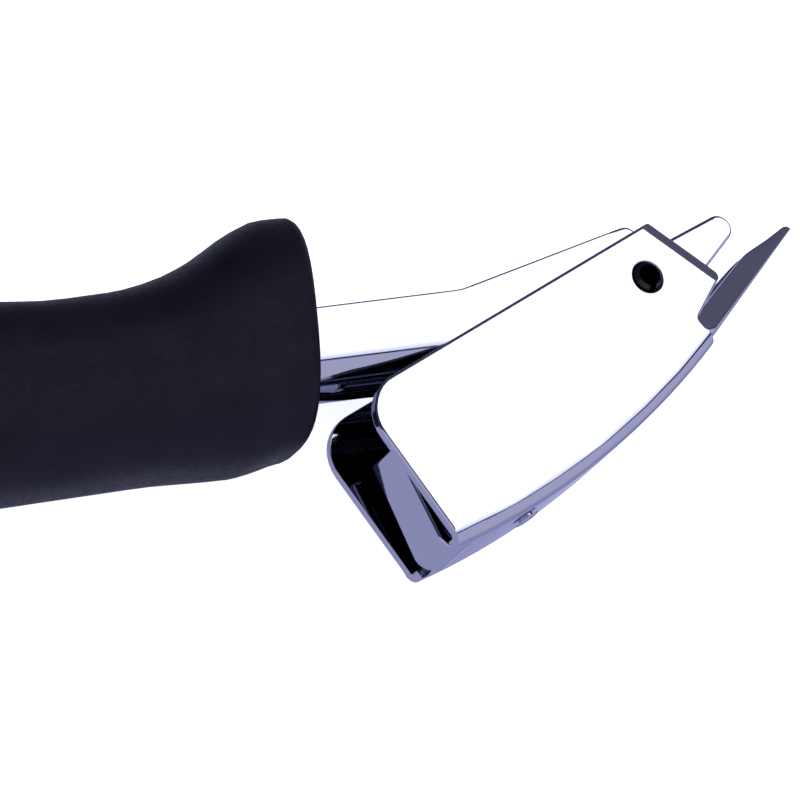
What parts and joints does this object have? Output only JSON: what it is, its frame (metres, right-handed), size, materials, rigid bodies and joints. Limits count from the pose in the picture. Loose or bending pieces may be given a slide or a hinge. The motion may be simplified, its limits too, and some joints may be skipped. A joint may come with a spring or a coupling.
{
  "type": "heavy-duty staple remover",
  "caption": "Lever-type staple remover: a pressed-steel jaw with a pointed claw and side plates, a beaked lever that turns in it on a cross pin, a return spring and a moulded grip.",
  "frame": {"origin": "centre of the base of the object's box, with the tool lying on its side", "axes": "+X forward along the grip to the claw, +Y to the lever's upper side, +Z across the tool, along the hinge"},
  "size_m": [0.187, 0.057, 0.0229],
  "materials": {
    "chrome_steel": "bright plated, polished",
    "black_steel": "black oxide, oiled",
    "spring_steel": "drawn wire",
    "zinc_plated": "zinc plated",
    "soft_black": "matte, fine grain",
    "hard_black": "as moulded"
  },
  "bodies": {
    "jaw_body": {"jaw": "chrome_steel", "pivot_spring_pin": "black_steel", "washer_near": "zinc_plated", "washer_far": "zinc_plated", "return_spring": "spring_steel", "spring_clip": "zinc_plated", "clip_rivet": "zinc_plated"},
    "lever_body": {"lever": "chrome_steel", "pivot_bush": "zinc_plated", "grip_sleeve": "soft_black", "grip_core": "hard_black", "tang_pin_front": "zinc_plated", "tang_pin_rear": "zinc_plated"}
  },
  "joints": [
    {"name": "lever_hinge", "type": "hinge", "parent": "jaw_body", "child": "lever_body", "pos_m": [0.06173, 0.00985, 0.01147], "axis": [0, 0, 1], "range_deg": [-14.5, 11], "stiffness_Nm_per_rad": 0.5, "deforming": ["return_spring"]}
  ]
}
